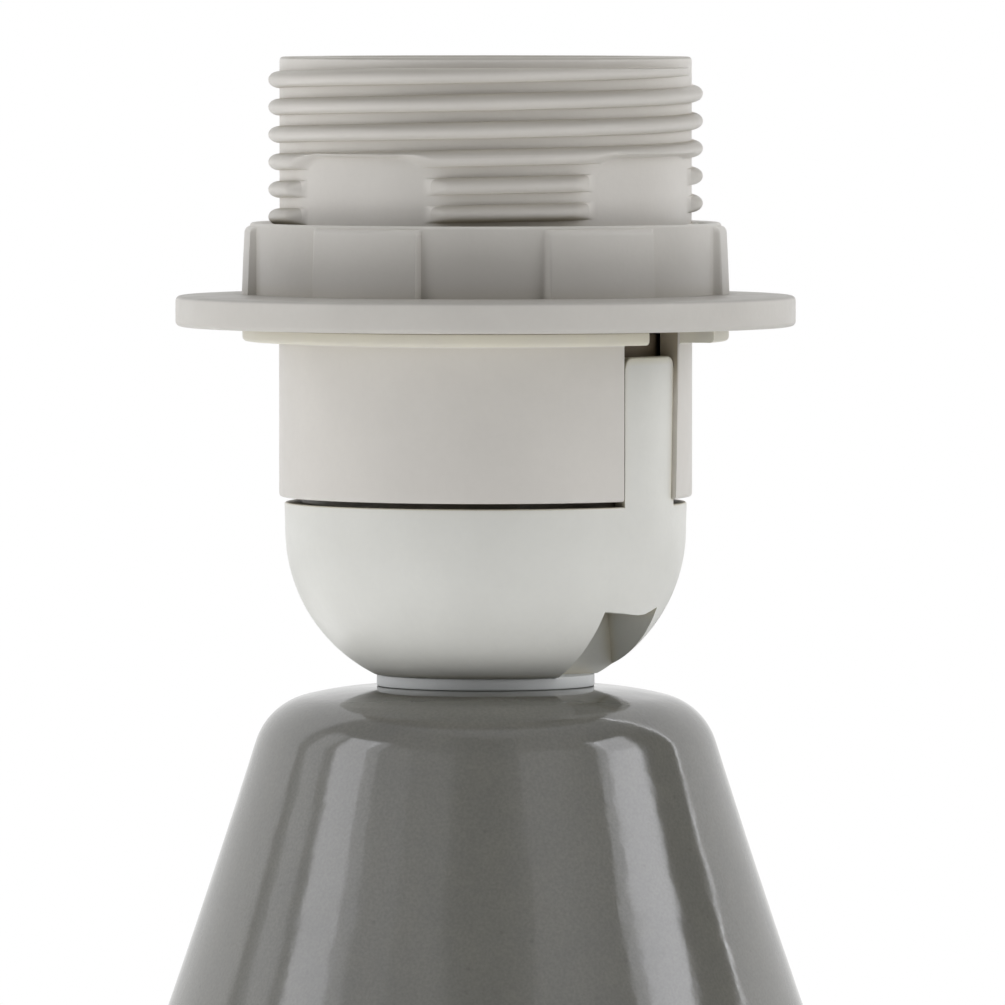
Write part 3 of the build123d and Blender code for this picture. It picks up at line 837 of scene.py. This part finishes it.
def zone(tree, foot, top, inner, outer):
    """1 between two levels and two radii about the lamp's axis, in mm, and 0 elsewhere."""
    flat = add(tree, "VectorMath", {0: object_place(tree), 1: (1, 1, 0)}, operation="MULTIPLY")
    radius = add(tree, "VectorMath", {0: flat.outputs["Vector"]}, operation="LENGTH").outputs["Value"]
    in_level = compute(tree, "COMPARE", level_of(tree), (foot + top) / 2 * mm, (top - foot) / 2 * mm)
    in_radius = compute(tree, "COMPARE", radius, (inner + outer) / 2 * mm, (outer - inner) / 2 * mm)
    return both(tree, in_level, in_radius)


# Stains and painted shade, each as a share over the piece; their zones reach a little past the surfaces
# that they mark

margin = 0.1
past_barrel = 25
past_tongue = 19
collar_inside = collar_radius - 0.5
collar_outside = grip_foot_radius + 0.75
grime_and_shade_foot = tongue_top - 4
grime_and_shade_full = tongue_top - 0.3


def lip_yellow_and_glow(tree):
    """The lip under the shade ring, yellowed in patches and painted lighter, a painted glow of light coming
    through the thin plastic.
    """
    lip = zone(tree, lip_foot - margin, lip_top + margin, barrel_radius + 0.05, past_barrel)
    return both(tree, lip, cloud(tree, 150, 0.5, 1.0))


def thread_dust_and_shade(tree):
    """Dust on the ridges of the thread, and painted shade darkening their upper flanks, which face away
    from the light from below.
    """
    ridges = zone(tree, lip_top, barrel_top, thread_root + 0.2, thread_root + thread_height + 0.2)
    return both(tree, ridges, facing_up(tree, -0.45, 0.8, 0.55))


def rim_painted_shade(tree):
    """Painted shade on the barrel's rim, darker on its upward face, which gets little light from above."""
    rim = zone(tree, thread_end - margin, barrel_top + margin, entry_radius, past_barrel)
    return both(tree, rim, facing_up(tree, 0.25, 0.8, 0.7))


def slot_grime_and_shade(tree):
    """Brown grime and painted shade on the walls of the slot, darker towards its top, under the lip."""
    walls = zone(tree, grime_and_shade_foot, lip_top, 0, thread_root - margin)
    return both(tree, walls, level_fade(tree, grime_and_shade_foot, grime_and_shade_full, 0.95))


def tongue_stain(tree):
    """The yellowed upper edge of the latch tongue."""
    inside = dome_rim_radius - tongue_thickness - 0.05
    edge = zone(tree, tongue_top - 1, tongue_top + margin, inside, past_tongue)
    return both(tree, edge, level_fade(tree, tongue_top - 0.8, tongue_top - 0.2, 0.7))


def collar_painted_shade(tree):
    """Painted shade on the collar, darker towards the flange, which blocks the light from below."""
    sides = zone(tree, flange_top - margin, collar_top, collar_inside, collar_outside)
    return both(tree, sides, level_fade(tree, collar_top, flange_top, 0.43))


def flange_painted_shade(tree):
    """Painted shade on the flange's upper face and edge, which get little light from above."""
    top = zone(tree, flange_top - 1.2, flange_top + margin, collar_inside, flange_radius + margin)
    return both(tree, top, facing_up(tree, 0.3, 0.9, 0.6))


def dark_sleeve_and_shade(tree):
    """The dome's spigot inside the holder, above its rim, painted dark brown: partly a dark inner sleeve's
    colour, partly painted shade inside the holder.
    """
    inside = zone(tree, dome_top - 1, barrel_top, 0, spigot_radius + 0.15)
    return both(tree, inside, cloud(tree, 200, 0.85, 1.0))


# Finishes; a cloud's scale is in cells per metre


def plastic(name, colour, roughness, corner=(1.0, 0.2), gap=(0.13, 0.35), stains_and_shade=()):
    """Moulded plastic: faint mottling, fine grain, flow marks, corners tinted with age and partly painted
    shade, painted shade deep in gaps, and listed stains, some of which are painted shade.
    """
    made, tree, shader = material(name, colour, roughness, 0.3)
    soft = blend_colour(tree, cloud(tree, 90), tint(colour, 0.965), tint(colour, 1.03))
    fine = blend_colour(tree, cloud(tree, 1500, 0.0, 0.1), soft, tint(colour, 0.85))
    # Corners tinted warmer with age; where the tint is also darker, that part is painted shade.
    aged_and_shaded = blend_colour(tree, crevice(tree, 1.6, 0.4, 0.92), fine, tint(colour, *corner))
    for find, mark_colour in stains_and_shade:
        aged_and_shaded = blend_colour(tree, find(tree), aged_and_shaded, mark_colour)
    # Painted shade: deep gaps and recesses darkened where light can't reach them.
    gap_shaded = blend_colour(tree, crevice(tree, 3.0, 0.12, 0.4), aged_and_shaded, tint(colour, *gap))
    tree.links.new(gap_shaded, shader.inputs["Base Color"])
    tree.links.new(cloud(tree, 400, roughness - 0.05, roughness + 0.07), shader.inputs["Roughness"])
    flow = cloud(tree, 60, stretch=(1, 1, 0.4))
    bump(tree, shader, [(flow, 0.12, 0.25), (cloud(tree, 1800), 0.012, 0.5)])
    return made


def metal(name, colour, roughness, scratch=0.5):
    """Plated or rolled metal with fine marks and dull spots."""
    made, tree, shader = material(name, colour, roughness, 0.5, 1.0)
    dull = blend_colour(tree, cloud(tree, 500), tint(colour, 0.86), tint(colour, 1.05))
    spots = blend_colour(tree, crevice(tree, 0.8, 0.4, 0.9), dull, tint(colour, 0.5, 0.2))
    tree.links.new(spots, shader.inputs["Base Color"])
    tree.links.new(cloud(tree, 900, roughness - 0.06, roughness + 0.12), shader.inputs["Roughness"])
    bump(tree, shader, [(cloud(tree, 1200, stretch=(1, 1, 6)), 0.01, scratch)])
    return made


def glaze():
    """Grey glaze over stoneware, with specks, soft waves and a bare foot ring."""
    colour = (0.143, 0.141, 0.126)
    light_clay, dark_clay = (0.52, 0.46, 0.38), (0.42, 0.36, 0.29)
    glaze_foot, wobble, softness = 3.5 * mm, 0.3 * mm, 0.2 * mm
    made, tree, shader = material("glaze_finish", colour, 0.1, 0.54)
    shader.inputs["Specular Tint"].default_value = (0.93, 0.94, 1.0, 1.0)
    soft = blend_colour(tree, cloud(tree, 45), tint(colour, 0.9), tint(colour, 1.1))
    mottle = blend_colour(tree, cloud(tree, 420, 0.0, 0.5), soft, tint(colour, 1.16, 0.05))
    cells = add(tree, "TexVoronoi", {"Vector": object_place(tree), "Scale": 700.0})
    dots = remap(tree, cells.outputs["Distance"], 0.08, 0.2, 0.4, 0.0)
    chance = add(tree, "SeparateColor", {0: cells.outputs["Color"]}).outputs[0]
    specks = both(tree, dots, compute(tree, "GREATER_THAN", chance, 0.82))
    speckled = blend_colour(tree, specks, mottle, tint(colour, 0.7))
    grainy = blend_colour(tree, cloud(tree, 3600, 0.0, 0.22, detail=1.0), speckled, tint(colour, 0.4))
    edge = compute(tree, "ADD", cloud(tree, 130, -wobble, wobble), level_of(tree))
    bare = remap(tree, edge, glaze_foot - softness, glaze_foot + softness, 1.0, 0.0)
    clay = blend_colour(tree, cloud(tree, 900), light_clay, dark_clay)
    tree.links.new(blend_colour(tree, bare, grainy, clay), shader.inputs["Base Color"])
    rough = compute(tree, "MULTIPLY_ADD", bare, 0.65, cloud(tree, 300, 0.08, 0.13))
    tree.links.new(rough, shader.inputs["Roughness"])
    waves = cloud(tree, 70, detail=1.0)
    dents = cloud(tree, 210, detail=1.5)
    bump(tree, shader, [(waves, 0.25, 0.25), (dents, 0.045, 0.35), (cloud(tree, 900), 0.015, 0.3)])
    return made


def felt():
    """Dark wool felt with a fibrous nap."""
    colour = (0.03, 0.03, 0.031)
    made, tree, shader = material("felt_finish", colour, 0.95, 0.2)
    fibres = cloud(tree, 2600, detail=5.0, stretch=(1, 1, 2))
    mixed = blend_colour(tree, fibres, tint(colour, 0.55), tint(colour, 1.9))
    tree.links.new(mixed, shader.inputs["Base Color"])
    shader.inputs["Sheen Weight"].default_value = 0.25
    shader.inputs["Sheen Roughness"].default_value = 0.5
    bump(tree, shader, [(fibres, 0.2, 0.8)])
    return made


def hardboard():
    """Brown pressed fibre board."""
    colour = (0.15, 0.085, 0.042)
    made, tree, shader = material("hardboard_finish", colour, 0.7, 0.3)
    flecks = cloud(tree, 1400, detail=5.0)
    mixed = blend_colour(tree, flecks, tint(colour, 0.6), tint(colour, 1.5))
    tree.links.new(mixed, shader.inputs["Base Color"])
    bump(tree, shader, [(flecks, 0.06, 0.6)])
    return made


def rubber():
    """Black rubber with a dull, dusty face."""
    colour = (0.016, 0.016, 0.017)
    made, tree, shader = material("nitrile_finish", colour, 0.6, 0.35)
    dust = blend_colour(tree, cloud(tree, 500), tint(colour, 0.8), tint(colour, 2.2))
    tree.links.new(dust, shader.inputs["Base Color"])
    tree.links.new(cloud(tree, 800, 0.5, 0.75), shader.inputs["Roughness"])
    bump(tree, shader, [(cloud(tree, 1600), 0.02, 0.5)])
    return made


dome_colour = (0.73, 0.73, 0.697)
# Dark brown inside the holder: partly the inner parts' own colour, partly painted shade.
sleeve_and_shade_colour = (0.2, 0.16, 0.115)
barrel_colour = (0.672, 0.648, 0.614)
ring_colour = (0.6, 0.58, 0.548)
spacer_colour = (0.84, 0.86, 0.87)
grommet_colour = (0.075, 0.075, 0.07)
zinc_colour = (0.62, 0.63, 0.65)
brass_colour = (0.72, 0.55, 0.26)
shell_colour = (0.76, 0.76, 0.77)
# Dust, and painted shade on the thread's upper flanks and on the rim.
dust_and_shade_colour = (0.26, 0.24, 0.2)
# Stains and painted shade for each finish: a mask and its colour.
dome_stains_and_shade = [
    (dark_sleeve_and_shade, sleeve_and_shade_colour),
    (tongue_stain, (0.68, 0.65, 0.53)),
]
# Painted shade on the ring: the collar's lower part and the flange's upper face.
ring_painted_shade = [
    (collar_painted_shade, (0.27, 0.255, 0.24)),
    (flange_painted_shade, (0.26, 0.25, 0.23)),
]
# The slot's grime and painted shade, the lip's yellowing and painted glow, the thread's dust and painted
# shade, and the rim's painted shade.
barrel_stains_and_shade = [
    (slot_grime_and_shade, (0.36, 0.31, 0.235)),
    (lip_yellow_and_glow, (0.72, 0.69, 0.58)),
    (thread_dust_and_shade, dust_and_shade_colour),
    (rim_painted_shade, dust_and_shade_colour),
]

finishes = {
    "glaze": glaze(),
    "hardboard": hardboard(),
    "felt": felt(),
    "inlet_plastic": plastic("inlet_finish", grommet_colour, 0.38, (1.2, 0.1)),
    "zinc_steel": metal("zinc_finish", zinc_colour, 0.32),
    "nitrile": rubber(),
    "spacer_plastic": plastic("spacer_finish", spacer_colour, 0.42, (0.95, 0.0), (0.8, 0.0)),
    "dome_plastic": plastic("dome_finish", dome_colour, 0.36, stains_and_shade=dome_stains_and_shade),
    "barrel_plastic": plastic("barrel_finish", barrel_colour, 0.4, (0.97, 0.04), (0.5, 0.3), barrel_stains_and_shade),
    "ring_plastic": plastic("ring_finish", ring_colour, 0.42, (0.95, 0.1), stains_and_shade=ring_painted_shade),
    # The contact carrier takes the same dark brown: partly its own colour, partly painted shade inside the
    # holder.
    "carrier_plastic": plastic("carrier_finish", sleeve_and_shade_colour, 0.5),
    "contact_brass": metal("brass_finish", brass_colour, 0.28),
    "shell_metal": metal("shell_finish", shell_colour, 0.25, 0.3),
}

own = (
    (glazed_body, "ceramic_body", "lamp"),
    (spacer_ring, "neck_spacer", "lamp"),
    (dome_moulding, "dome_cap", "lamp"),
    (barrel_moulding, "barrel_shell", "lamp"),
    (flange_moulding, "ring_flange", "ring_lift"),
    (collar_moulding, "ring_collar", "ring_grip"),
    (felt_disc, "felt_pad", "lamp"),
)
slots = {part["node"]: part["material_slot"] for part in frame["record"]["subparts"]}
for piece, node, body in own:
    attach(piece, body)
    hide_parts(node)
    piece.data.materials.clear()
    piece.data.materials.append(finishes[slots[node]])
for name, node in frame["nodes"].items():
    node.data.materials.clear()
    node.data.materials.append(finishes[slots[name]])

# Floor, which fades to plain white for the camera away from the lamp

floor_radius = 1500
floor_depth = 20
floor_steps = 128
floor_fade = (0.35, 1.3)
floor_colour = (0.8, 0.8, 0.79)
floor_light = (0.83, 0.83, 0.82)
floor_top = [at(floor_radius, 360 * step / floor_steps, 0) / mm for step in range(floor_steps)]
floor_foot = [Vector((spot.x, spot.y, -floor_depth)) for spot in floor_top]
floor = stack("floor", [floor_foot, floor_top])
floor_finish, tree, shader = material("floor_finish", floor_colour, 0.6, 0.2)
away = add(tree, "VectorMath", {0: object_place(tree)}, operation="LENGTH").outputs["Value"]
fade = remap(tree, away, *floor_fade, 0.0, 1.0, soft=True)
plain = blend_colour(tree, cloud(tree, 30), floor_colour, floor_light)
tree.links.new(plain, shader.inputs["Base Color"])
seen = add(tree, "LightPath", {}).outputs["Is Camera Ray"]
white = add(tree, "Emission", {"Color": (1, 1, 1, 1), "Strength": 1.0}).outputs[0]
mixed = add(tree, "MixShader", {0: both(tree, seen, fade), 1: shader.outputs[0], 2: white})
tree.links.new(mixed.outputs[0], tree.nodes["Material Output"].inputs["Surface"])
floor.data.materials.append(floor_finish)

# Lamps: their radiance is the level that the gloss shows

lamp_distance = 1.7
target_height = 181.7 * mm
board_height = 0.01


def area_lamp(name, width, height, radiance):
    """A rectangular lamp that the camera doesn't see; its size is in metres."""
    lamp_data = bpy.data.lights.new(name, "AREA")
    lamp_data.shape = "RECTANGLE"
    lamp_data.size, lamp_data.size_y = width, height
    lamp_data.energy = radiance * math.pi * width * height
    lamp = bpy.data.objects.new(name, lamp_data)
    scene.collection.objects.link(lamp)
    lamp.visible_camera = False
    return lamp


def soft_lamp(name, azimuth, elevation, across, tall, radiance):
    """A lamp that faces the lampholder; its place and its size are angles as seen from there."""
    width, height = (2 * lamp_distance * math.tan(math.radians(angle) / 2) for angle in (across, tall))
    lamp = area_lamp(name, width, height, radiance)
    turn, tilt = math.radians(azimuth), math.radians(elevation)
    out = Vector((math.sin(turn) * math.cos(tilt), -math.cos(turn) * math.cos(tilt), math.sin(tilt)))
    lamp.location = Vector((0, 0, target_height)) + out * lamp_distance
    lamp.rotation_euler = out.to_track_quat("Z", "Y").to_euler()


def low_board(name, place, size, radiance):
    """A lamp that lies on the floor and faces up; its place and its size are (X, Y) in metres."""
    board = area_lamp(name, *size, radiance)
    board.location = (*place, board_height)
    board.rotation_euler = (math.radians(180), 0, 0)


soft_lamp("left_lamp", -76, 33, 17, 18, 3.15)
soft_lamp("left_low", -76, 15, 17, 18, 3.4)
soft_lamp("left_edge", -63, 24, 8, 36, 1.35)
soft_lamp("left_rear", -98, 24, 12, 36, 1.0)
soft_lamp("left_fill", -76, 24, 62, 36, 0.3)
soft_lamp("right_lamp", 78.5, 34, 19, 16, 4.3)
soft_lamp("right_low", 78.5, 18, 19, 16, 5.8)
soft_lamp("right_edge", 65, 26, 6, 32, 2.7)
soft_lamp("left_front", -38, 20, 36, 30, 0.3)
soft_lamp("right_front", 40, 20, 36, 30, 0.42)

low_board("front_board", (0, -0.25), (0.9, 0.24), 0.84)
low_board("back_board", (0, 0.35), (0.9, 0.3), 0.5)
low_board("left_board", (-0.4, 0.1), (0.5, 0.7), 0.75)
low_board("right_board", (0.4, 0.1), (0.5, 0.7), 0.15)

# World: soft light from above and behind, and plain white for the camera. The gloss sees a dim front
# instead, darker on its far right, a bright wall behind, a seam at the wall's right edge and a light
# ceiling. Ranges are along X, Y and Z of the direction.

overhead_level = 0.9
behind_level = 0.3
front_levels = (0.43, 0.8)
far_right_share = 0.2
wall_levels = (1.8, 1.0)
seam_place = 0.385
seam_half_width = 0.011
seam_level = 6.0

world = bpy.data.worlds.new("studio")
scene.world = world
world.use_nodes = True
tree = world.node_tree
way = add(tree, "TexCoord", {}).outputs["Generated"]
axes = add(tree, "SeparateXYZ", {0: way}).outputs
overhead = remap(tree, axes["Z"], 0.5, 0.9, 0.0, overhead_level, soft=True)
behind = remap(tree, axes["Y"], 0.15, 0.55, 0.0, behind_level, soft=True)
around = compute(tree, "MAXIMUM", overhead, behind)
front = remap(tree, compute(tree, "ABSOLUTE", axes["X"]), 0.08, 0.35, *front_levels, soft=True)
front = both(tree, front, remap(tree, axes["X"], 0.5, 0.8, 1.0, far_right_share))
wall = remap(tree, axes["Y"], 0.4, 0.95, *wall_levels)
wall_edge = remap(tree, axes["Y"], 0.36, 0.41, 0.0, 1.0, soft=True)
on_seam = compute(tree, "COMPARE", axes["Y"], seam_place, seam_half_width)
seam = both(tree, on_seam, compute(tree, "GREATER_THAN", axes["X"], 0.0))
back = compute(tree, "MULTIPLY_ADD", seam, seam_level, blend_value(tree, wall_edge, front, wall))
ceiling = remap(tree, axes["Z"], 0.75, 0.95, 0.0, 1.0, soft=True)
mirrored = compute(tree, "MAXIMUM", back, ceiling)
rays = add(tree, "LightPath", {}).outputs
level = blend_value(tree, rays["Is Glossy Ray"], around, mirrored)
seen = compute(tree, "MAXIMUM", rays["Is Camera Ray"], rays["Is Transmission Ray"])
background = tree.nodes["Background"]
background.inputs["Color"].default_value = (1, 1, 1, 1)
tree.links.new(blend_value(tree, seen, level, 1.0), background.inputs["Strength"])

# Camera

camera_distance = 1216 * mm
camera_pitch = 2.3
camera_lens = 477
camera_side = 1.54 * mm

camera_data = bpy.data.cameras.new("camera")
camera_data.lens = camera_lens
camera_data.sensor_width = 36
camera_data.clip_start = 0.1
camera_data.clip_end = 20
camera = bpy.data.objects.new("camera", camera_data)
scene.collection.objects.link(camera)
pitch = math.radians(camera_pitch)
camera.location = (
    camera_side,
    -camera_distance * math.cos(pitch),
    target_height + camera_distance * math.sin(pitch),
)
camera.rotation_euler = (math.radians(90) - pitch, 0, 0)
scene.camera = camera

scene.view_settings.view_transform = "Standard"
